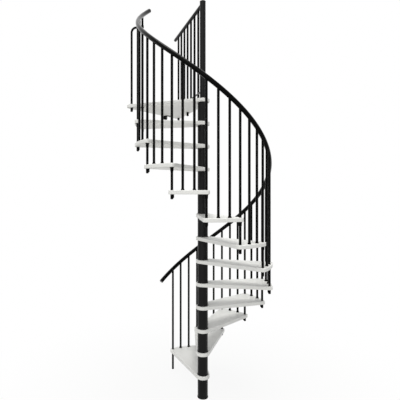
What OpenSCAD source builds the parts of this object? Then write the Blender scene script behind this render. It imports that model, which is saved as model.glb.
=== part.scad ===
// Spiral staircase: wedge treads threaded on a centre pole and held apart by column tubes,
// round balusters under a helical handrail, and a wedge landing with its own straight rail.
// The origin lies on the axis at floor level. The flight climbs clockwise seen from above.

/* [Flight] */
// Height from one tread top to the next
rise = 220; // [190:1:240]
// Number of treads below the landing
tread_count = 12; // [6:1:13]
// Angle from one tread to the next, in degrees
tread_turn = 26.2; // [24:0.1:30]
// Angle at which the first nosing lies seen from above, in degrees
start_angle = 118.1; // [90:0.1:150]
// Radius of the circle that the balusters stand on
baluster_circle_r = 622; // [520:1:820]

/* [Treads] */
// Thickness of treads and landing
tread_thick = 33; // [24:1:45]
// Reach of a tread past the middle of its corner balusters
tread_overhang = 28; // [22:0.5:40]
// Margin of the round tread hub past the column tube
hub_margin = 16; // [8:0.5:30]

/* [Column] */
// Outside diameter of the column tubes
column_d = 98; // [80:1:120]
// Reach of the ring at the foot of each tube past the tube
ring_proud = 3; // [1:0.5:6]
// Height of the ring at the foot of each tube
ring_h = 18; // [8:1:30]
// Height of the ring's straight lip, below its taper
ring_lip_h = 6; // [2:0.5:8]
// Thickness of the base flange
flange_thick = 18; // [10:1:30]
// Diameter of the centre pole
pole_d = 56; // [40:0.5:65]
// Height of the bare pole above the top of the landing rail
newel_h = 1; // [0:0.5:80]
// Thickness of the cap on the pole
cap_thick = 5; // [3:0.5:20]
// Reach of the cap past the pole
cap_proud = 1; // [0.5:0.5:5]

/* [Rails] */
// Diameter of the handrail
rail_d = 40; // [34:0.5:50]
// Diameter of the landing rail
landing_rail_d = 36; // [30:0.5:50]
// Height of the handrail's middle above a tread at its nosing
rail_height = 895; // [850:5:1000]
// Height of the landing rail's middle above the landing
landing_rail_height = 917; // [800:1:960]
// Angle by which the handrail starts before the first baluster, in degrees
rail_lead = 14.4; // [4:0.1:20]
// Angle by which the handrail runs past the last baluster, in degrees
rail_tail = 14; // [4:0.1:20]
// Reach of the landing rail past its last baluster
landing_rail_tail = 119; // [30:1:150]

/* [Balusters] */
// Diameter of the balusters
baluster_d = 22; // [12:0.5:23]
// Diameter of the rosette at the foot of a short baluster
rosette_d = 32; // [28:0.5:40]
// Height of the rosette
rosette_h = 13; // [4:0.5:20]
// Diameter of the washer of a collar below a tread
collar_d = 37; // [30:0.5:44]
// Thickness of that washer
washer_thick = 3; // [2:0.5:8]
// Diameter of the cone below that washer, at its upper end
cone_d = 29; // [27:0.5:34]
// Height of that cone
cone_h = 32; // [12:1:36]
// Wall of a rosette or a cone at its thin end
trim_wall = 1.5; // [1:0.5:2]
// Diameter of the end nut at the tread that it holds
nut_d = 24.5; // [24:0.5:34]
// Diameter of the end nut at its lower end
nut_tip_d = 23.5; // [14:0.5:26]
// Height of the end nut
nut_h = 41; // [34:1:48]
// Diameter of the screw boss on the side of the end nut
boss_d = 18; // [10:0.5:20]
// Height of that boss
boss_h = 31; // [18:1:33]
// Distance from the nut's middle to the boss's middle
boss_offset = 10.5; // [6:0.5:12]
// Angle from outwards to the boss, in degrees
boss_turn = 145; // [0:5:355]

/* [Landing] */
// Angle between the landing's nosing and its railing, in degrees
landing_turn = 55.6; // [45:0.1:75]
// Reach of the landing past the baluster circle, at the middle of its outer corners
landing_reach = 138; // [100:1:300]
// Distance from an outer corner's middle back to the foot that stands there
landing_foot_inset = 20; // [5:1:40]
// Distance from the axis to the first landing baluster
landing_first_r = 117; // [90:1:140]
// Number of landing balusters
landing_baluster_count = 7; // [3:1:9]
// Height of the handrail above the hoop's arm, middle to middle
hoop_h = 115; // [60:1:200]
// Radius of the hoop's bend at its middle
hoop_bend_r = 45; // [30:1:60]
// Outside diameter of the clip that holds the hoop's arm
clip_d = 28; // [26:0.5:40]
// Height of that clip
clip_h = 24; // [22:1:40]
// Diameter of the toe bar along the landing balusters
toe_bar_d = 16; // [8:0.5:20]
// Height of the toe bar's middle above the landing
toe_bar_h = 69; // [40:1:150]
// Width of the fixing block below the landing
block_w = 31; // [24:1:45]
// Height of that block
block_h = 39; // [28:1:60]
// Diameter of the bolt hole through that block
block_bolt_d = 11; // [8:0.5:14]
// Share of the way along the outer edge at which the block sits
block_share = 0.73; // [0.2:0.01:0.8]
// Radius of the half-round plate behind that block
plate_r = 38; // [25:1:60]
// Thickness of that plate
plate_thick = 3; // [3:0.5:8]

/* [Hidden] */
$fn = 48;
// Degrees in a full turn
full_turn = 360;
// Balusters from one nosing to the next
spaces = 3;
// Rings and sides of the swept handrail
rail_rings = 112;
rail_sides = 16;
// Straight steps along a plate's hub, corners and round edge
hub_steps = 40;
corner_steps = 12;
edge_steps = 20;
// Radial clearance of whatever passes through a tread
fit = 0.3;
// Clearance of a baluster's top below the handrail
seat_gap = 0.2;
// Reach of cutting shapes past the faces that they cut
overrun = 5;

baluster_turn = tread_turn / spaces;
last_baluster = tread_count * spaces;
landing_z = (tread_count + 1) * rise;
tread_r = baluster_circle_r + tread_overhang;
hub_r = column_d / 2 + hub_margin;
ring_d = column_d + 2 * ring_proud;
pole_bore_d = pole_d + 2 * fit;
baluster_hole_d = baluster_d + 2 * fit;
trim_tip_d = baluster_hole_d + 2 * trim_wall;
rail_slope = atan(rise / (2 * PI * baluster_circle_r * tread_turn / full_turn));
rail_flat_r = rail_d / 2 * cos(full_turn / 2 / rail_sides);
nosing_angle = start_angle - tread_count * tread_turn;
railing_angle = nosing_angle - landing_turn;
landing_corner_r = baluster_circle_r + landing_reach;
landing_foot_r = landing_corner_r - landing_foot_inset;
landing_pitch = (landing_foot_r - landing_first_r) / (landing_baluster_count - 1);
landing_rail_r = landing_foot_r + landing_rail_tail;
landing_rail_z = landing_z + landing_rail_height;
newel_top = landing_rail_z + landing_rail_d / 2 + newel_h;
hoop_arm_h = rail_height - hoop_h;
outer_edge_r = landing_corner_r * cos(landing_turn / 2) + tread_overhang;
outer_edge_half = landing_corner_r * sin(landing_turn / 2);
block_y = outer_edge_half * (1 - 2 * block_share);

function two_digits(n) = str(n < 10 ? "0" : "", n);
function tread_name(n) = str("tread_", two_digits(n));
function tube_name(n) = str("column_tube_", two_digits(n));
function baluster_angle(i) = start_angle - i * baluster_turn;
function rail_z(i) = rise + rail_height + i * rise / spaces;

// Places its children on the baluster circle at baluster i
module at_baluster(i) {
    rotate(baluster_angle(i))
        translate([baluster_circle_r, 0, 0])
            children();
}

// Places its children on the landing's nosing line, r from the axis
module on_nosing(r) {
    rotate(nosing_angle)
        translate([r, 0, 0])
            children();
}

// Places its children on the landing's railing line, r from the axis
module on_railing(r) {
    rotate(railing_angle)
        translate([r, 0, 0])
            children();
}

// Points along an arc, counter-clockwise from one angle to another
function arc(middle, r, from, to, steps) =
    [for (k = [0 : steps])
        let (a = from + (to - from) * k / steps)
        middle + r * [cos(a), sin(a)]];

// Outline of a plate round the hub, with one round corner on +X and one that lies turn below it.
// The corners' arcs end at the angles given, and edge holds the points between them.
function wedge_points(reach, turn, rear_end, front_start, edge) =
    let (lean = acos((hub_r - tread_overhang) / reach))
    concat(
        arc([0, 0], hub_r, lean, full_turn - turn - lean, hub_steps),
        arc(reach * [cos(turn), -sin(turn)], tread_overhang, -turn - lean, rear_end, corner_steps),
        edge,
        arc([reach, 0], tread_overhang, front_start, lean, corner_steps));

// Outline of a tread, with a round outer edge
module tread_outline() {
    step = tread_turn / edge_steps;
    edge = arc([0, 0], tread_r, step - tread_turn, -step, edge_steps - 2);
    polygon(wedge_points(baluster_circle_r, tread_turn, -tread_turn, 0, edge));
}

// Outline of the landing, with a straight outer edge
module landing_outline() {
    square_on = -landing_turn / 2;
    polygon(wedge_points(landing_corner_r, landing_turn, square_on, square_on, []));
}

module tread(n) {
    color("white")
        translate([0, 0, n * rise - tread_thick])
            difference() {
                rotate(baluster_angle((n - 1) * spaces))
                    linear_extrude(tread_thick)
                        tread_outline();
                translate([0, 0, -overrun])
                    cylinder(d = pole_bore_d, h = tread_thick + 2 * overrun);
                for (i = [(n - 1) * spaces, n * spaces])
                    at_baluster(i)
                        translate([0, 0, -overrun])
                            cylinder(d = baluster_hole_d, h = tread_thick + 2 * overrun);
            }
}

module landing() {
    color("white")
        translate([0, 0, landing_z - tread_thick])
            difference() {
                rotate(nosing_angle)
                    linear_extrude(tread_thick)
                        landing_outline();
                translate([0, 0, -overrun])
                    cylinder(d = pole_bore_d, h = tread_thick + 2 * overrun);
                at_baluster(last_baluster)
                    translate([0, 0, -overrun])
                        cylinder(d = baluster_hole_d, h = tread_thick + 2 * overrun);
            }
}

// Tube below tread n, or below the landing. All but the first have a tapered ring at the foot.
module column_tube(n) {
    foot_z = n == 1 ? flange_thick : (n - 1) * rise;
    tube_h = n * rise - tread_thick - foot_z;
    ring = [[ring_d / 2, 0], [ring_d / 2, ring_lip_h], [column_d / 2, ring_h]];
    foot = n == 1 ? [[column_d / 2, 0]] : ring;
    color("#202020")
        translate([0, 0, foot_z])
            rotate_extrude()
                polygon(concat([[pole_bore_d / 2, 0]], foot,
                               [[column_d / 2, tube_h], [pole_bore_d / 2, tube_h]]));
}

module base_flange() {
    color("#202020")
        cylinder(d = ring_d, h = flange_thick);
}

module centre_pole() {
    color("#202020")
        translate([0, 0, flange_thick])
            cylinder(d = pole_d, h = newel_top - flange_thick);
}

module pole_cap() {
    cap_d = pole_d + 2 * cap_proud;
    color("#202020")
        translate([0, 0, newel_top])
            rotate_extrude()
                polygon([[0, 0], [cap_d / 2, 0], [cap_d / 2, cap_thick / 2],
                         [cap_d / 2 - cap_thick / 2, cap_thick], [0, cap_thick]]);
}

// One ring of the handrail's skin, at i counted in balusters along the helix
function rail_ring(i) =
    let (
        a = baluster_angle(i),
        out = [cos(a), sin(a), 0],
        up = [-sin(a) * sin(rail_slope), cos(a) * sin(rail_slope), cos(rail_slope)],
        middle = baluster_circle_r * out + [0, 0, rail_z(i)]
    )
    [for (s = [0 : rail_sides - 1])
        let (turn = (s + 1 / 2) * full_turn / rail_sides)
        middle + rail_d / 2 * (cos(turn) * out + sin(turn) * up)];

module handrail() {
    first = -rail_lead / baluster_turn;
    last = last_baluster + rail_tail / baluster_turn;
    points = [for (k = [0 : rail_rings], p = rail_ring(first + (last - first) * k / rail_rings)) p];
    sides = [for (k = [0 : rail_rings - 1], s = [0 : rail_sides - 1])
        let (next = (s + 1) % rail_sides, near = k * rail_sides, far = near + rail_sides)
        [near + s, near + next, far + next, far + s]];
    start_face = [for (s = [rail_sides - 1 : -1 : 0]) s];
    end_face = [for (s = [0 : rail_sides - 1]) rail_rings * rail_sides + s];
    color("#151515")
        polyhedron(points, concat(sides, [start_face, end_face]));
}

// The landing rail's full cylinder, also used to cut what meets it
module landing_rail_bar(d) {
    on_railing(0)
        translate([0, 0, landing_rail_z])
            rotate([0, 90, 0])
                cylinder(d = d, h = landing_rail_r);
}

module landing_rail() {
    color("#151515")
        difference() {
            landing_rail_bar(landing_rail_d);
            cylinder(d = pole_bore_d, h = landing_rail_z + landing_rail_d);
        }
}

// Baluster i from foot_z up to a seat cut along the handrail's underside
module flight_baluster(i, foot_z) {
    seat_w = baluster_d + 2 * overrun;
    at_baluster(i)
        difference() {
            translate([0, 0, foot_z])
                cylinder(d = baluster_d, h = rail_z(i) - foot_z);
            translate([0, 0, rail_z(i)])
                rotate([-rail_slope, 0, 0])
                    translate([-seat_w / 2, -seat_w / 2, -rail_flat_r - seat_gap])
                        cube([seat_w, seat_w, rail_d]);
        }
}

// One through the first nosing to the floor, then one from the rear corner of each tread
module long_balusters() {
    color("#101010") {
        flight_baluster(0, 0);
        for (n = [1 : tread_count])
            flight_baluster(n * spaces, n * rise - tread_thick);
    }
}

module short_balusters() {
    color("#101010")
        for (n = [1 : tread_count], s = [1 : spaces - 1])
            flight_baluster((n - 1) * spaces + s, n * rise);
}

module landing_balusters() {
    color("#101010")
        difference() {
            for (k = [0 : landing_baluster_count - 1])
                on_railing(landing_first_r + k * landing_pitch)
                    translate([0, 0, landing_z])
                        cylinder(d = baluster_d, h = landing_rail_height);
            landing_rail_bar(landing_rail_d + 2 * fit);
        }
}

// Low cone round the foot of each short baluster
module baluster_rosettes() {
    color("#101010")
        for (n = [1 : tread_count], s = [1 : spaces - 1])
            at_baluster((n - 1) * spaces + s)
                translate([0, 0, n * rise])
                    difference() {
                        cylinder(d1 = rosette_d, d2 = trim_tip_d, h = rosette_h);
                        translate([0, 0, -overrun])
                            cylinder(d = baluster_hole_d, h = rosette_h + 2 * overrun);
                    }
}

// Washer and cone on each long baluster, below the nosing that it carries
module tread_collars() {
    color("#101010")
        for (n = [2 : tread_count + 1])
            at_baluster((n - 1) * spaces)
                translate([0, 0, n * rise - tread_thick])
                    mirror([0, 0, 1])
                        difference() {
                            union() {
                                cylinder(d = collar_d, h = washer_thick);
                                translate([0, 0, washer_thick])
                                    cylinder(d1 = cone_d, d2 = trim_tip_d, h = cone_h);
                            }
                            translate([0, 0, -overrun])
                                cylinder(d = baluster_hole_d, h = washer_thick + cone_h + 2 * overrun);
                        }
}

// A tapered nut that hangs from the face at z = 0, with a screw boss on its side
module end_nut() {
    mirror([0, 0, 1]) {
        cylinder(d1 = nut_d, d2 = nut_tip_d, h = nut_h);
        rotate(boss_turn)
            translate([boss_offset, 0, 0])
                cylinder(d = boss_d, h = boss_h);
    }
}

// Nuts below the rear corner of each tread, and below the landing's railing and hoop
module end_nuts() {
    middle = floor(landing_baluster_count / 2);
    color("#101010") {
        for (n = [1 : tread_count])
            at_baluster(n * spaces)
                translate([0, 0, n * rise - tread_thick])
                    end_nut();
        translate([0, 0, landing_z - tread_thick]) {
            on_nosing(landing_foot_r)
                end_nut();
            for (k = [middle, landing_baluster_count - 1])
                on_railing(landing_first_r + k * landing_pitch)
                    end_nut();
        }
    }
}

// Leg at the landing's outer corner, bent over to the last long baluster
module hoop_baluster() {
    span = landing_foot_r - baluster_circle_r;
    color("#101010")
        on_nosing(landing_foot_r)
            translate([0, 0, landing_z]) {
                cylinder(d = baluster_d, h = hoop_arm_h - hoop_bend_r);
                translate([-hoop_bend_r, 0, hoop_arm_h - hoop_bend_r])
                    rotate([90, 0, 0])
                        rotate_extrude(angle = 90)
                            translate([hoop_bend_r, 0])
                                circle(d = baluster_d);
                difference() {
                    translate([-span, 0, hoop_arm_h])
                        rotate([0, 90, 0])
                            cylinder(d = baluster_d, h = span - hoop_bend_r);
                    translate([-span, 0, hoop_arm_h - clip_h])
                        cylinder(d = clip_d, h = 2 * clip_h);
                }
            }
}

// Clip round the last long baluster where the hoop's arm ends
module hoop_clip() {
    color("#101010")
        on_nosing(baluster_circle_r)
            translate([0, 0, landing_z + hoop_arm_h - clip_h / 2])
                difference() {
                    cylinder(d = clip_d, h = clip_h);
                    translate([0, 0, -overrun])
                        cylinder(d = baluster_hole_d, h = clip_h + 2 * overrun);
                }
}

// Bar along the walking side of the landing balusters, from the pole to past the last of them
module toe_bar() {
    color("#606060")
        difference() {
            on_railing(0)
                translate([0, baluster_d / 2 + fit + toe_bar_d / 2, landing_z + toe_bar_h])
                    rotate([0, 90, 0])
                        cylinder(d = toe_bar_d, h = landing_foot_r + baluster_d);
            cylinder(d = pole_bore_d, h = landing_rail_z);
        }
}

// Places its children at the middle of the landing's outer edge, on its underside, with +X outwards
module on_outer_edge() {
    rotate(nosing_angle - landing_turn / 2)
        translate([outer_edge_r, 0, landing_z - tread_thick])
            children();
}

// Block below the landing's outer edge, with a bolt hole that points outwards
module fixing_block() {
    color("#181818")
        on_outer_edge()
            translate([-block_w, block_y - block_w / 2, -block_h])
                difference() {
                    cube([block_w, block_w, block_h]);
                    translate([-overrun, block_w / 2, block_h / 2])
                        rotate([0, 90, 0])
                            cylinder(d = block_bolt_d, h = block_w + 2 * overrun);
                }
}

// Half-round plate behind the block, with its straight side against it
module fixing_plate() {
    color("#606060")
        on_outer_edge()
            translate([-block_w - fit, block_y - block_w / 2, -plate_thick])
                difference() {
                    cylinder(r = plate_r, h = plate_thick);
                    translate([0, -plate_r - overrun, -overrun])
                        cube([plate_r + overrun, 2 * (plate_r + overrun), plate_thick + 2 * overrun]);
                }
}

for (n = [1 : tread_count])
    tread(n);
for (n = [1 : tread_count + 1])
    column_tube(n);
base_flange();
centre_pole();
pole_cap();
landing();
handrail();
landing_rail();
long_balusters();
short_balusters();
landing_balusters();
baluster_rosettes();
tread_collars();
end_nuts();
hoop_baluster();
hoop_clip();
toe_bar();
fixing_block();
fixing_plate();
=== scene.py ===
import math

import bmesh
import bpy
from mathutils import Matrix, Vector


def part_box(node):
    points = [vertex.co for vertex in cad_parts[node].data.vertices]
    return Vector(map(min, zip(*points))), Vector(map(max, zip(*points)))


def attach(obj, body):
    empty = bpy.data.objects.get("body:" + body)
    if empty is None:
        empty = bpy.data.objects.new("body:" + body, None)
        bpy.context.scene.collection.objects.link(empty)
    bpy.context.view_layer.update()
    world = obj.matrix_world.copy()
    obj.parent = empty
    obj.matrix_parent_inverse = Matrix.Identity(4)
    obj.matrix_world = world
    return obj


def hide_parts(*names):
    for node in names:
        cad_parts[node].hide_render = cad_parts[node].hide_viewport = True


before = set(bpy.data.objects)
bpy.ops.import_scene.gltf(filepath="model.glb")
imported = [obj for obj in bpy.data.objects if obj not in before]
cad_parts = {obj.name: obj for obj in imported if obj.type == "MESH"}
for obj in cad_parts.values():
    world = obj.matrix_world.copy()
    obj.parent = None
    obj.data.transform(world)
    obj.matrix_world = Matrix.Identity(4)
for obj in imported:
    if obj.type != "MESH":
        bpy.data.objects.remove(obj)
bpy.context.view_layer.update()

scene = bpy.context.scene

# the flight that every piece follows, in metres and degrees
flight = {
    "treads": 12,
    "treadTurn": 26.2,       # from one tread to the next
    "startAngle": 118.1,     # first nosing, seen from above
    "circleRadius": 0.622,   # circle that the balusters stand on
    "spaces": 3,             # balusters from one nosing to the next
    "balusterRadius": 0.011,
    "railHeight": 0.895,     # handrail's middle above a tread at its nosing
    "fit": 0.0003,           # clearance round whatever passes through another piece
}


def low(node):
    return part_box(node)[0].z


def high(node):
    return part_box(node)[1].z


def radiusOf(node):          # of an upright round node on the column's axis
    return (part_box(node)[1].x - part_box(node)[0].x) / 2


rise = high("tread_02") - high("tread_01")
plateThick = high("tread_01") - low("tread_01")
landingTop = high("landing")
landingUnder = low("landing")
poleRadius = radiusOf("centre_pole")
poleBore = poleRadius + flight["fit"]
tubeRadius = radiusOf("column_tube_01")
circle = flight["circleRadius"]
balusterRadius = flight["balusterRadius"]
balusterBore = balusterRadius + flight["fit"]
lastBaluster = flight["treads"] * flight["spaces"]
quarterTurn = math.pi / 2
alongX = Matrix.Rotation(quarterTurn, 4, "Y")    # lays an upright shape along X


def turned(angle):           # about the column's axis, in degrees
    return Matrix.Rotation(math.radians(angle), 4, "Z")


def moved(x, y, z):
    return Matrix.Translation((x, y, z))


def balusterAngle(i):
    return flight["startAngle"] - i * flight["treadTurn"] / flight["spaces"]


def atBaluster(i, z):        # on the baluster circle, with +X outwards
    return turned(balusterAngle(i)) @ moved(circle, 0, z)


def railZ(i):
    return rise + flight["railHeight"] + i * rise / flight["spaces"]


# finishes

class Wire:                  # a socket that takes part in plain expressions
    def __init__(self, tree, socket=None):
        self.tree = tree
        self.socket = socket

    def node(self, kind, settings=None, inputs=None, output=0):
        made = self.tree.nodes.new(kind)
        for key, value in (settings or {}).items():
            setattr(made, key, value)
        for key, value in (inputs or {}).items():
            if isinstance(value, Wire):
                self.tree.links.new(value.socket, made.inputs[key])
            else:
                made.inputs[key].default_value = value
        return Wire(self.tree, made.outputs[output] if made.outputs else None)

    def maths(self, operation, first, second):
        return self.node("ShaderNodeMath", {"operation": operation}, {0: first, 1: second})

    def __add__(self, other):
        return self.maths("ADD", self, other)

    def __sub__(self, other):
        return self.maths("SUBTRACT", self, other)

    def __rsub__(self, other):
        return self.maths("SUBTRACT", other, self)

    def __mul__(self, other):
        return self.maths("MULTIPLY", self, other)

    __radd__ = __add__
    __rmul__ = __mul__


def clearTree(owner):
    owner.use_nodes = True
    owner.node_tree.nodes.clear()
    return Wire(owner.node_tree)


def paint(name, look):       # a coat with cloudy tone, uneven gloss and a fine surface
    material = bpy.data.materials.new(name)
    tree = clearTree(material)
    spot = tree.node("ShaderNodeTexCoord", output="Object")
    cloud = tree.node("ShaderNodeTexNoise", {"noise_dimensions": "3D"},
                      {"Vector": spot, "Scale": look["cloudScale"], "Detail": 3.0})
    grain = tree.node("ShaderNodeTexNoise", {"noise_dimensions": "3D"},
                      {"Vector": spot, "Scale": look["grainScale"], "Detail": 2.0})
    tone = tree.node("ShaderNodeMix", {"data_type": "RGBA"},
                     {"Factor": cloud, "A": (*look["dark"], 1), "B": (*look["light"], 1)}, "Result")
    gloss = look["rough"] + look["roughSpread"] * (cloud + grain - 1)
    bump = tree.node("ShaderNodeBump", None,
                     {"Strength": look["bump"], "Distance": look["bumpDepth"], "Height": grain})
    coat = tree.node("ShaderNodeBsdfPrincipled", None,
                     {"Base Color": tone, "Roughness": gloss, "Normal": bump,
                      "Specular IOR Level": look["specular"], "Metallic": look["metallic"]})
    tree.node("ShaderNodeOutputMaterial", None, {"Surface": coat})
    return material


# the powder coats are metallic, because a dark metal's sheen grows towards its rims as theirs does
finishes = {
    "white_tread": paint("satinWhitePaint", {
        "dark": (0.845, 0.842, 0.828), "light": (0.885, 0.882, 0.868),
        "cloudScale": 5.0, "grainScale": 420.0, "rough": 0.44, "roughSpread": 0.12,
        "bump": 0.10, "bumpDepth": 0.0004, "specular": 0.35, "metallic": 0.0}),
    "column_black": paint("columnPowderCoat", {
        "dark": (0.0138, 0.0138, 0.0140), "light": (0.0170, 0.0170, 0.0172),
        "cloudScale": 9.0, "grainScale": 620.0, "rough": 0.37, "roughSpread": 0.12,
        "bump": 0.14, "bumpDepth": 0.0004, "specular": 0.5, "metallic": 1.0}),
    "rail_black": paint("railPowderCoat", {
        "dark": (0.0044, 0.0044, 0.0044), "light": (0.0056, 0.0056, 0.0056),
        "cloudScale": 9.0, "grainScale": 620.0, "rough": 0.20, "roughSpread": 0.08,
        "bump": 0.04, "bumpDepth": 0.0002, "specular": 0.5, "metallic": 1.0}),
    "baluster_black": paint("balusterPowderCoat", {
        "dark": (0.0038, 0.0038, 0.0038), "light": (0.0050, 0.0050, 0.0050),
        "cloudScale": 9.0, "grainScale": 620.0, "rough": 0.31, "roughSpread": 0.08,
        "bump": 0.04, "bumpDepth": 0.0002, "specular": 0.5, "metallic": 1.0}),
    "fitting_black": paint("mattFitting", {
        "dark": (0.0008, 0.0008, 0.0008), "light": (0.0022, 0.0022, 0.0022),
        "cloudScale": 30.0, "grainScale": 900.0, "rough": 0.55, "roughSpread": 0.10,
        "bump": 0.08, "bumpDepth": 0.0002, "specular": 0.05, "metallic": 0.0}),
    "bar_grey": paint("greyBarPaint", {
        "dark": (0.085, 0.085, 0.086), "light": (0.115, 0.115, 0.116),
        "cloudScale": 20.0, "grainScale": 700.0, "rough": 0.42, "roughSpread": 0.12,
        "bump": 0.12, "bumpDepth": 0.0003, "specular": 0.25, "metallic": 0.0}),
}
print("finishes made:", len(finishes))


# shared ways of making a shape

mergeDistance = 1e-6


def lathe(profile, steps, closed=False):         # radius and height points spun about Z
    bm = bmesh.new()
    ring = [bm.verts.new((r, 0, z)) for r, z in profile]
    ends = ring[1:] + ring[:1] if closed else ring[1:]
    line = [bm.edges.new(pair) for pair in zip(ring, ends)]
    bmesh.ops.spin(bm, geom=ring + line, cent=(0, 0, 0), axis=(0, 0, 1), dvec=(0, 0, 0),
                   angle=2 * math.pi, steps=steps, use_merge=True, use_duplicate=False)
    bmesh.ops.remove_doubles(bm, verts=bm.verts[:], dist=mergeDistance)
    bmesh.ops.recalc_face_normals(bm, faces=bm.faces[:])
    return bm


def bends(steps):                                # even angles over a quarter turn
    return [quarterTurn * k / steps for k in range(steps + 1)]


def hollowCurve(start, end, steps=5):            # quarter of an ellipse, bowed towards the axis and down
    (r0, z0), (r1, z1) = start, end
    return [(r0 + (r1 - r0) * math.sin(a), z1 + (z0 - z1) * math.cos(a)) for a in bends(steps)]


def domeCurve(start, end, steps=5):              # quarter of an ellipse, from a wall round to a level end
    (r0, z0), (r1, z1) = start, end
    return [(r1 + (r0 - r1) * math.cos(a), z0 + (z1 - z0) * math.sin(a)) for a in bends(steps)]


def roundEdges(bm, edges, width, segments=2):
    bmesh.ops.bevel(bm, geom=edges, offset=width, offset_type="OFFSET", segments=segments,
                    profile=0.5, affect="EDGES", clamp_overlap=True, material=-1)


def soften(bm, width, segments=2, corner=50):    # rounds every edge sharper than the corner angle
    sharp = [e for e in bm.edges if e.is_manifold and e.calc_face_angle() > math.radians(corner)]
    roundEdges(bm, sharp, width, segments)


def place(bm, matrix):
    bmesh.ops.transform(bm, matrix=matrix, verts=bm.verts[:])
    return bm


def rod(radius, length, sides):                  # upright round bar from zero upwards
    bm = bmesh.new()
    bmesh.ops.create_cone(bm, cap_ends=True, cap_tris=False, segments=sides, radius1=radius,
                          radius2=radius, depth=length, matrix=moved(0, 0, length / 2))
    return bm


def only(kind, geometry):                        # the vertices, edges or faces among an operator's results
    return [g for g in geometry if isinstance(g, kind)]


def cutOff(bm, point, normal):                   # removes what lies past a plane and closes the cut
    cut = bmesh.ops.bisect_plane(bm, geom=bm.verts[:] + bm.edges[:] + bm.faces[:], clear_outer=True,
                                 plane_co=point, plane_no=normal)
    bmesh.ops.edgeloop_fill(bm, edges=only(bmesh.types.BMEdge, cut["geom_cut"]))


def asMesh(bm, name):
    mesh = bpy.data.meshes.new(name)
    bm.to_mesh(mesh)
    bm.free()
    return mesh


def gather(shapes):                              # joins finished shapes into one
    bm = bmesh.new()
    for shape in shapes:
        part = asMesh(shape, "part")
        bm.from_mesh(part)
        bpy.data.meshes.remove(part)
    return bm


def copies(shape, places):                       # the same shape set down at each place
    single = asMesh(shape, "single")
    bm = bmesh.new()
    for matrix in places:
        first = len(bm.verts)
        bm.from_mesh(single)
        bm.verts.ensure_lookup_table()
        bmesh.ops.transform(bm, matrix=matrix, verts=bm.verts[first:])
    bpy.data.meshes.remove(single)
    return bm


def combine(bm, other, operation):               # exact boolean of two closed shapes
    stock, cutter = [bpy.data.objects.new(n, asMesh(b, n)) for n, b in (("stock", bm), ("cutter", other))]
    for obj in (stock, cutter):
        scene.collection.objects.link(obj)
    cut = stock.modifiers.new("cut", "BOOLEAN")
    cut.operation = operation
    cut.solver = "EXACT"
    cut.object = cutter
    bpy.context.view_layer.update()
    evaluated = stock.evaluated_get(bpy.context.evaluated_depsgraph_get())
    result = bpy.data.meshes.new_from_object(evaluated)
    bm = bmesh.new()
    bm.from_mesh(result)
    for mesh in (result, stock.data, cutter.data):
        bpy.data.meshes.remove(mesh)             # takes its object along
    return bm


def piece(name, bm, slot, nodes, crease=20):     # a finished part of the stair, in place of its nodes
    mesh = asMesh(bm, name)
    for face in mesh.polygons:
        face.use_smooth = face.loop_total <= 4   # faces with more sides are flat ends
    mesh.set_sharp_from_angle(angle=math.radians(crease))
    mesh.materials.append(finishes[slot])
    obj = bpy.data.objects.new(name, mesh)
    scene.collection.objects.link(obj)
    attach(obj, "root")
    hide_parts(*nodes)


# treads and landing

plate = {
    "overhang": 0.028,       # past the middle of the corner balusters
    "hubMargin": 0.016,      # round hub past the column tube
    "hubSides": 96,
    "cornerSides": 40,
    "holeSides": 40,
    "edgeSteps": 24,
    "flatAngle": 0.2,        # faces that meet at less than this many degrees become one
    "rim": 0.005,            # rounding of the upper and lower rims
    "rimSegments": 3,
    "crease": 12,            # degrees past which an edge is shaded sharp
    "landingTurn": 55.6,     # from the landing's nosing to its railing
    "landingCorner": 0.760,  # axis to the middle of an outer corner
}
hubRadius = tubeRadius + plate["hubMargin"]
nosingAngle = balusterAngle(lastBaluster)
railingAngle = nosingAngle - plate["landingTurn"]


def wedgePlate(reach, turn, roundEdge):          # hub and two corners hulled, with the top face at zero
    bm = bmesh.new()
    for z in (0, -plateThick):
        bmesh.ops.create_circle(bm, segments=plate["hubSides"], radius=hubRadius, matrix=moved(0, 0, z))
        for angle in (0, -turn):
            bmesh.ops.create_circle(bm, segments=plate["cornerSides"], radius=plate["overhang"],
                                    matrix=turned(angle) @ moved(reach, 0, z))
        if roundEdge:
            start = bm.verts.new((reach + plate["overhang"], 0, z))
            bmesh.ops.spin(bm, geom=[start], cent=(0, 0, 0), axis=(0, 0, 1), dvec=(0, 0, 0),
                           angle=math.radians(-turn), steps=plate["edgeSteps"])
    bmesh.ops.remove_doubles(bm, verts=bm.verts[:], dist=mergeDistance)
    bmesh.ops.convex_hull(bm, input=bm.verts[:], use_existing_faces=False)
    bmesh.ops.delete(bm, geom=[v for v in bm.verts if not v.link_faces], context="VERTS")
    bmesh.ops.delete(bm, geom=[e for e in bm.edges if not e.link_faces], context="EDGES")
    bmesh.ops.dissolve_limit(bm, angle_limit=math.radians(plate["flatAngle"]), delimit=set(),
                             use_dissolve_boundaries=False, verts=bm.verts[:], edges=bm.edges[:])
    bmesh.ops.recalc_face_normals(bm, faces=bm.faces[:])
    soften(bm, plate["rim"], plate["rimSegments"])
    return bm


def drilled(bm, holes):                          # cut right through a plate, each by its place and radius
    pins = [place(rod(r, 3 * plateThick, plate["holeSides"]), moved(x, y, -2 * plateThick))
            for x, y, r in holes]
    return combine(bm, gather(pins), "DIFFERENCE")


def cornerHole(angle):                           # for a baluster, at an angle from the nosing
    angle = math.radians(angle)
    return circle * math.cos(angle), circle * math.sin(angle), balusterBore


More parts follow.
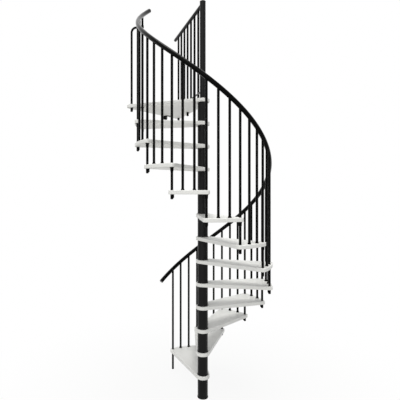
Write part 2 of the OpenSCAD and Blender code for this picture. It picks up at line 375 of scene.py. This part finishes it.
poleHole = (0, 0, poleBore)
treadPlate = drilled(wedgePlate(circle, flight["treadTurn"], True),
                     [poleHole, cornerHole(0), cornerHole(-flight["treadTurn"])])
treadMesh = asMesh(treadPlate, "treadPlate")
for n in range(1, flight["treads"] + 1):
    shape = bmesh.new()
    shape.from_mesh(treadMesh)
    node = "tread_%02d" % n
    place(shape, moved(0, 0, high(node)) @ turned(balusterAngle((n - 1) * flight["spaces"])))
    piece("tread%02d" % n, shape, "white_tread", [node], plate["crease"])
bpy.data.meshes.remove(treadMesh)

landingPlate = drilled(wedgePlate(plate["landingCorner"], plate["landingTurn"], False),
                       [poleHole, cornerHole(0)])
piece("landingPlate", place(landingPlate, moved(0, 0, landingTop) @ turned(nosingAngle)),
      "white_tread", ["landing"], plate["crease"])
print("treads and landing made")


# column

column = {
    "sides": 72,
    "ringHeight": 0.018,
    "ringLip": 0.0045,       # straight part of a ring, below its hollow
    "flangeLip": 0.009,
    "edge": 0.0008,
    "capEdge": 0.0025,
}
ringRadius = radiusOf("column_tube_02")


def tube(height, ringed):                        # sleeve on the pole, with a flared foot where it has a ring
    foot = [(tubeRadius, 0)]
    if ringed:
        foot = [(ringRadius, 0)] + hollowCurve((ringRadius, column["ringLip"]),
                                               (tubeRadius, column["ringHeight"]))
    bm = lathe([(poleBore, 0)] + foot + [(tubeRadius, height), (poleBore, height)], column["sides"], True)
    soften(bm, column["edge"])
    return bm


for n in range(1, flight["treads"] + 2):
    node = "column_tube_%02d" % n
    shape = tube(high(node) - low(node), n > 1)
    piece("columnTube%02d" % n, place(shape, moved(0, 0, low(node))), "column_black", [node])

flangeHeight = high("base_flange")
flange = lathe([(0, 0), (ringRadius, 0)]
               + hollowCurve((ringRadius, column["flangeLip"]), (tubeRadius, flangeHeight))
               + [(0, flangeHeight)], column["sides"])
soften(flange, column["edge"])
piece("baseFlange", flange, "column_black", ["base_flange"])

poleFoot = low("centre_pole")
pole = rod(poleRadius, high("centre_pole") - poleFoot, column["sides"])
soften(pole, column["edge"])
piece("centrePole", place(pole, moved(0, 0, poleFoot)), "column_black", ["centre_pole"])

capRadius = radiusOf("pole_cap")
capTop = high("pole_cap")
cap = lathe([(0, low("pole_cap")), (capRadius, low("pole_cap"))]
            + domeCurve((capRadius, capTop - column["capEdge"]), (capRadius - column["capEdge"], capTop))
            + [(0, capTop)], column["sides"])
piece("poleCap", cap, "column_black", ["pole_cap"])
print("column made")


# rails

rails = {
    "radius": 0.020,
    "lead": 14.4,            # degrees before the first baluster
    "tail": 14.0,            # degrees past the last one
    "sides": 28,
    "stepTurn": 1.5,         # degrees from one section to the next
    "endEdge": 0.0015,
}
railSlope = math.atan(rise / (circle * math.radians(flight["treadTurn"])))
railTurn = rails["lead"] + lastBaluster * flight["treadTurn"] / flight["spaces"] + rails["tail"]
railSteps = round(railTurn / rails["stepTurn"])
railRise = railTurn / flight["treadTurn"] * rise
railStart = -rails["lead"] / flight["treadTurn"] * flight["spaces"]

rail = bmesh.new()
acrossSlope = Matrix.Rotation(quarterTurn - railSlope, 4, "X")
bmesh.ops.create_circle(rail, cap_ends=True, segments=rails["sides"], radius=rails["radius"],
                        matrix=atBaluster(railStart, railZ(railStart)) @ acrossSlope)
bmesh.ops.spin(rail, geom=rail.faces[:], cent=(0, 0, 0), axis=(0, 0, 1), angle=math.radians(-railTurn),
               dvec=(0, 0, railRise / railSteps), steps=railSteps)
bmesh.ops.recalc_face_normals(rail, faces=rail.faces[:])
soften(rail, rails["endEdge"])
piece("handrail", rail, "rail_black", ["handrail"])

landingRail = {
    "sides": 32,
    "tail": 0.119,           # past the last landing baluster
    "footInset": 0.020,      # last foot from the outer corner's middle
    "firstFoot": 0.117,      # first landing baluster from the axis
    "count": 7,
}
landingFoot = plate["landingCorner"] - landingRail["footInset"]
pitch = (landingFoot - landingRail["firstFoot"]) / (landingRail["count"] - 1)
levelRadius = (high("landing_rail") - low("landing_rail")) / 2
levelZ = high("landing_rail") - levelRadius


def alongRailing(k, z):                          # at one of the landing balusters, counted from the pole
    return turned(railingAngle) @ moved(landingRail["firstFoot"] + k * pitch, 0, z)


def levelBar(radius, sides, length, offset, z):  # level bar from the pole along the railing line
    bm = place(rod(radius, length, sides), moved(0, offset, z) @ alongX)
    far = [f for f in bm.faces if f.calc_center_median().x > length - radius and len(f.verts) == sides]
    roundEdges(bm, far[0].edges[:], rails["endEdge"])
    for vert in bm.verts:
        if vert.co.x < radius / 2:               # near end follows the pole's round
            vert.co.x = math.sqrt(poleBore ** 2 - vert.co.y ** 2)
    return place(bm, turned(railingAngle))


bar = levelBar(levelRadius, landingRail["sides"], landingFoot + landingRail["tail"], 0, levelZ)
piece("landingRail", bar, "rail_black", ["landing_rail"])

toeBar = {
    "sides": 20,
    "tail": 0.022,           # past the last landing baluster
}
toeRadius = (high("toe_bar") - low("toe_bar")) / 2
bar = levelBar(toeRadius, toeBar["sides"], landingFoot + toeBar["tail"], balusterBore + toeRadius,
               high("toe_bar") - toeRadius)
piece("toeBar", bar, "bar_grey", ["toe_bar"])
print("rails made")


# balusters

baluster = {
    "sides": 24,
    "seat": 0.6,             # share of the rail's radius from its middle down to the baluster's cut
}


def flightBaluster(i, foot):                     # cut to the rail's slope, inside the rail
    reach = railZ(i) - foot
    bm = rod(balusterRadius, reach, baluster["sides"])
    cutOff(bm, (0, 0, reach - baluster["seat"] * rails["radius"]),
           (0, math.sin(railSlope), math.cos(railSlope)))
    return place(bm, atBaluster(i, foot))


longSet = [flightBaluster(0, 0)]
shortSet = []
shortSpots = []
for n in range(1, flight["treads"] + 1):
    top = high("tread_%02d" % n)
    longSet.append(flightBaluster(n * flight["spaces"], top - plateThick))
    for k in range(1, flight["spaces"]):
        i = (n - 1) * flight["spaces"] + k
        shortSet.append(flightBaluster(i, top))
        shortSpots.append(atBaluster(i, top))
piece("longBalusters", gather(longSet), "baluster_black", ["long_balusters"])
piece("shortBalusters", gather(shortSet), "baluster_black", ["short_balusters"])

landingReach = levelZ - baluster["seat"] * levelRadius - landingTop
landingSpots = [alongRailing(k, landingTop) for k in range(landingRail["count"])]
piece("landingBalusters", copies(rod(balusterRadius, landingReach, baluster["sides"]), landingSpots),
      "baluster_black", ["landing_balusters"])
print("balusters made")


# fittings on the balusters

fitting = {
    "tip": 0.0128,           # radius at a thin end
    "rosette": 0.016,
    "rosetteHeight": 0.013,
    "rosetteLip": 0.002,
    "washer": 0.0185,
    "washerThick": 0.003,
    "cone": 0.0145,
    "coneHeight": 0.032,
    "nut": 0.01225,
    "nutTip": 0.01175,
    "nutHeight": 0.041,
    "dome": 0.005,           # height of a nut's round lower end
    "boss": 0.009,
    "bossHeight": 0.031,
    "bossOffset": 0.0105,
    "bossTurn": 145,         # degrees from outwards
    "edge": 0.0006,
    "sides": 28,
}

rosette = lathe([(balusterBore, 0), (fitting["rosette"], 0)]
                + hollowCurve((fitting["rosette"], fitting["rosetteLip"]),
                              (fitting["tip"], fitting["rosetteHeight"]))
                + [(balusterBore, fitting["rosetteHeight"])], fitting["sides"], True)
piece("balusterRosettes", copies(rosette, shortSpots), "fitting_black", ["baluster_rosettes"])

washerThick = fitting["washerThick"]
collarFoot = -washerThick - fitting["coneHeight"]
collar = lathe([(balusterBore, 0), (fitting["washer"], 0), (fitting["washer"], -washerThick),
                (fitting["cone"], -washerThick), (fitting["tip"], collarFoot), (balusterBore, collarFoot)],
               fitting["sides"], True)
soften(collar, fitting["edge"])
collarSpots = [atBaluster((n - 1) * flight["spaces"], n * rise - plateThick)
               for n in range(2, flight["treads"] + 2)]
piece("treadCollars", copies(collar, collarSpots), "fitting_black", ["tread_collars"])


def hangingNut(radius, tip, height):             # tapered, with a round lower end
    return lathe([(0, 0), (radius, 0)]
                 + domeCurve((tip, fitting["dome"] - height), (0, -height)), fitting["sides"])


def atHoop(z):                                   # at the landing's front outer corner
    return turned(nosingAngle) @ moved(landingFoot, 0, z)


boss = place(hangingNut(fitting["boss"], fitting["boss"], fitting["bossHeight"]),
             turned(fitting["bossTurn"]) @ moved(fitting["bossOffset"], 0, 0))
nut = combine(hangingNut(fitting["nut"], fitting["nutTip"], fitting["nutHeight"]), boss, "UNION")
nutSpots = [atBaluster(n * flight["spaces"], n * rise - plateThick)
            for n in range(1, flight["treads"] + 1)]
nutSpots.append(atHoop(landingUnder))
for k in (landingRail["count"] // 2, landingRail["count"] - 1):     # middle and last landing baluster
    nutSpots.append(alongRailing(k, landingUnder))
piece("endNuts", copies(nut, nutSpots), "fitting_black", ["end_nuts"])
print("fittings made")


# hoop at the landing's outer corner

hoop = {
    "drop": 0.115,           # handrail's middle down to the arm's middle
    "bend": 0.045,
    "bendSteps": 12,
    "clipSides": 32,
    "clipEdge": 0.0015,
    "clipSegments": 3,
}
bend = hoop["bend"]
legHeight = flight["railHeight"] - hoop["drop"] - bend
clipLow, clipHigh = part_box("hoop_clip")
clipRadius = (clipHigh.x - clipLow.x) / 2
clipHeight = clipHigh.z - clipLow.z
armLength = landingFoot - circle - bend - clipRadius / 2     # ends inside the clip


def extrudeEnd(bm, face, step):                  # carries the bar's end on
    grown = bmesh.ops.extrude_face_region(bm, geom=[face])["geom"]
    bmesh.ops.translate(bm, vec=step, verts=only(bmesh.types.BMVert, grown))
    return only(bmesh.types.BMFace, grown)[0]


leg = bmesh.new()
bmesh.ops.create_circle(leg, cap_ends=True, segments=baluster["sides"], radius=balusterRadius)
end = extrudeEnd(leg, leg.faces[:][0], (0, 0, legHeight))
curve = bmesh.ops.spin(leg, geom=[end], cent=(-bend, 0, legHeight), axis=(0, -1, 0),
                       dvec=(0, 0, 0), angle=quarterTurn, steps=hoop["bendSteps"])
extrudeEnd(leg, only(bmesh.types.BMFace, curve["geom_last"])[0], (-armLength, 0, 0))
bmesh.ops.recalc_face_normals(leg, faces=leg.faces[:])
piece("hoopBaluster", place(leg, atHoop(landingTop)), "baluster_black", ["hoop_baluster"])

clip = lathe([(balusterBore, 0), (clipRadius, 0), (clipRadius, clipHeight), (balusterBore, clipHeight)],
             hoop["clipSides"], True)
soften(clip, hoop["clipEdge"], hoop["clipSegments"])
piece("hoopClip", place(clip, atBaluster(lastBaluster, clipLow.z)), "fitting_black", ["hoop_clip"])
print("hoop made")


# block and plate that fix the landing to the floor beside it

fixing = {
    "width": 0.031,
    "edge": 0.0015,
    "fineEdge": 0.0005,
    "hole": 0.0055,
    "sides": 32,             # of the hole and the washer
    "share": 0.73,           # of the way along the outer edge
    "boltHead": 0.0085,
    "boltHeadSides": 6,
    "boltHeadThick": 0.006,
    "washer": 0.011,
    "washerThick": 0.002,
    "plateRadius": 0.038,
    "plateSides": 64,
    "screw": 0.005,
    "screwSides": 20,
    "screwHeight": 0.002,
    "screwSpread": 0.018,
}
halfTurn = plate["landingTurn"] / 2
edgeReach = plate["landingCorner"] * math.cos(math.radians(halfTurn)) + plate["overhang"]
edgeHalf = plate["landingCorner"] * math.sin(math.radians(halfTurn))
blockY = edgeHalf * (1 - 2 * fixing["share"])
onOuterEdge = turned(nosingAngle - halfTurn) @ moved(edgeReach, 0, landingUnder)
wide = fixing["width"]
blockHeight = high("fixing_block") - low("fixing_block")
blockMiddle = moved(-wide / 2, blockY, -blockHeight / 2)

block = bmesh.new()
bmesh.ops.create_cube(block, size=1, matrix=Matrix.Diagonal((wide, wide, blockHeight, 1)))
soften(block, fixing["edge"])
pin = rod(fixing["hole"], 2 * wide, fixing["sides"])
block = combine(block, place(pin, alongX @ moved(0, 0, -wide)), "DIFFERENCE")
piece("fixingBlock", place(block, onOuterEdge @ blockMiddle), "fitting_black", ["fixing_block"])

washer = lathe([(0, 0), (fixing["washer"], 0), (fixing["washer"], fixing["washerThick"]),
                (0, fixing["washerThick"])], fixing["sides"])
soften(washer, fixing["fineEdge"])
head = rod(fixing["boltHead"], fixing["boltHeadThick"], fixing["boltHeadSides"])
soften(place(head, moved(0, 0, fixing["washerThick"])), fixing["fineEdge"])
inwards = blockMiddle @ moved(-wide / 2, 0, 0) @ alongX.inverted()
piece("fixingBolt", place(gather([washer, head]), onOuterEdge @ inwards), "bar_grey", [])

plateThin = high("fixing_plate") - low("fixing_plate")
tongue = rod(fixing["plateRadius"], plateThin, fixing["plateSides"])
cutOff(tongue, (0, 0, 0), (1, 0, 0))
soften(tongue, fixing["fineEdge"])
screw = lathe([(fixing["screw"], 0)] + domeCurve((fixing["screw"], 0), (0, -fixing["screwHeight"])),
              fixing["screwSides"])
spread = fixing["screwSpread"]
screws = copies(screw, [moved(-spread, side * spread, 0) for side in (-1, 1)])
tonguePlace = onOuterEdge @ moved(-wide - flight["fit"], blockY - wide / 2, -plateThin)
piece("fixingPlate", place(gather([tongue, screws]), tonguePlace), "bar_grey", ["fixing_plate"])
print("fixings made")


# floor, light and camera

sky = {
    "colour": (0.975, 0.985, 1.0, 1),
    "level": 0.45,           # light on the object; the background itself is plain white
}
plainWhite = {"Color": (1, 1, 1, 1), "Strength": 1.0}


def plainlySeen(tree):       # one for a ray from the camera, off a sheen or through glass
    fromCamera, offSheen, throughGlass = [
        tree.node("ShaderNodeLightPath", output=ray)
        for ray in ("Is Camera Ray", "Is Glossy Ray", "Is Transmission Ray")]
    return fromCamera + offSheen + throughGlass


world = bpy.data.worlds.new("studioWorld")
scene.world = world
tree = clearTree(world)
light = tree.node("ShaderNodeBackground", None, {"Color": sky["colour"], "Strength": sky["level"]})
white = tree.node("ShaderNodeBackground", None, plainWhite)
shown = tree.node("ShaderNodeMixShader", None, {0: plainlySeen(tree), 1: light, 2: white})
tree.node("ShaderNodeOutputWorld", None, {"Surface": shown})

ground = {
    "size": 14.0,
    "cells": 8,
    "colour": (0.52, 0.52, 0.515, 1),
    "glow": 0.92,            # share of plain white that the camera sees in the floor by the stair
    "fadeStart": 0.4,        # distance from the axis at which that share starts to grow
    "fadeEnd": 2.6,          # distance at which the floor is plain white
}
sheet = bmesh.new()
bmesh.ops.create_grid(sheet, x_segments=ground["cells"], y_segments=ground["cells"], size=ground["size"])
floor = bpy.data.objects.new("studioFloor", asMesh(sheet, "studioFloor"))
scene.collection.objects.link(floor)
floorPaint = bpy.data.materials.new("paleFloor")
tree = clearTree(floorPaint)
spot = tree.node("ShaderNodeTexCoord", output="Object")
reach = tree.node("ShaderNodeVectorMath", {"operation": "LENGTH"}, {0: spot}, "Value")
share = tree.node("ShaderNodeMapRange", {"interpolation_type": "SMOOTHSTEP"},
                  {"Value": reach, "From Min": ground["fadeStart"], "From Max": ground["fadeEnd"],
                   "To Min": ground["glow"], "To Max": 1.0})
matt = tree.node("ShaderNodeBsdfDiffuse", None, {"Color": ground["colour"]})
white = tree.node("ShaderNodeEmission", None, plainWhite)
shown = tree.node("ShaderNodeMixShader", None, {0: share * plainlySeen(tree), 1: matt, 2: white})
tree.node("ShaderNodeOutputMaterial", None, {"Surface": shown})
floor.data.materials.append(floorPaint)

lampLook = {
    "colour": (0.992, 0.99, 0.945),
    "place": (0, -3, 7),     # clear of the stair; a distant lamp lights alike from any place
}
# degrees from straight down: tilt away from the viewer, lean to the left, then turn about the upright
lamps = {
    "overheadLamp": {"level": 2.02, "spread": 33, "tilt": 9, "lean": -1, "turn": 0},
    "frontLamp": {"level": 0.88, "spread": 75, "tilt": 60, "lean": 0, "turn": -25},
}
for name, lamp in lamps.items():
    sun = bpy.data.lights.new(name, "SUN")
    sun.energy = lamp["level"]
    sun.color = lampLook["colour"]
    sun.angle = math.radians(lamp["spread"])
    obj = bpy.data.objects.new(name, sun)
    obj.rotation_euler = [math.radians(lamp[way]) for way in ("tilt", "lean", "turn")]
    obj.location = lampLook["place"]
    scene.collection.objects.link(obj)

view = {
    "place": (-0.2484, -3.433, 1.953),
    "lens": 32.12,
    "sensor": 36.0,
    "shift": (0.0577, -0.016),
}
lens = bpy.data.cameras.new("camera")
lens.lens = view["lens"]
lens.sensor_width = view["sensor"]
lens.shift_x, lens.shift_y = view["shift"]
camera = bpy.data.objects.new("camera", lens)
camera.location = view["place"]
camera.rotation_euler = (quarterTurn, 0, 0)      # level, so that uprights stay upright
scene.collection.objects.link(camera)
scene.camera = camera
scene.view_settings.view_transform = "Standard"
print("studio made")
